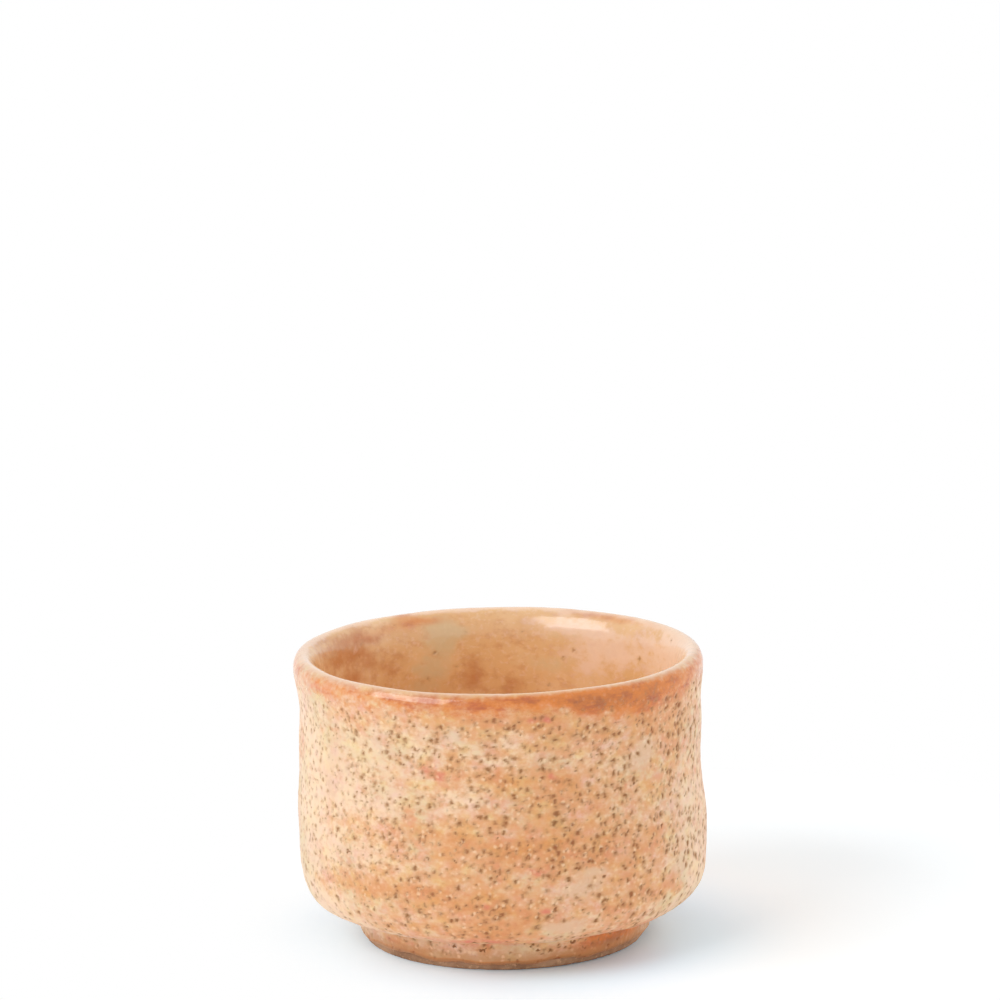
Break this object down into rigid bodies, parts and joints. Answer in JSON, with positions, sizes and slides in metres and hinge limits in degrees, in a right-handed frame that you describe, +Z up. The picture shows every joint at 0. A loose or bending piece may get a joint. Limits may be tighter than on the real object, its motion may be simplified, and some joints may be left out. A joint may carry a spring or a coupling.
{
  "type": "guinomi sake cup",
  "caption": "Small handleless stoneware cup with an upright, gently waisted wall, rounded hip and low foot ring, under a pinholed cream and orange glaze; holds sake for sipping.",
  "frame": {"origin": "on the table, under the middle of the cup", "axes": "+Z up along the cup's axis of turning, out of its mouth; the picture looks along +Y with +X to the right"},
  "size_m": [0.0662, 0.0662, 0.0472],
  "materials": {
    "stoneware": "bare fired clay, brown, matte and fine grained",
    "speckled_glaze": "satin gloss cream glaze with orange bands and dark pinholes",
    "rust_glaze": "glossy rust orange where the glaze runs thin over the lip",
    "tan_glaze": "glossy tan lining, clouded with cream"
  },
  "bodies": {
    "root": {"clay_body": "stoneware", "foot_ring": "stoneware", "wall_glaze": "speckled_glaze", "hip_glaze": "speckled_glaze", "lip_glaze": "rust_glaze", "inner_glaze": "tan_glaze", "foot_glaze": "speckled_glaze", "recess_glaze": "speckled_glaze"}
  },
  "joints": []
}
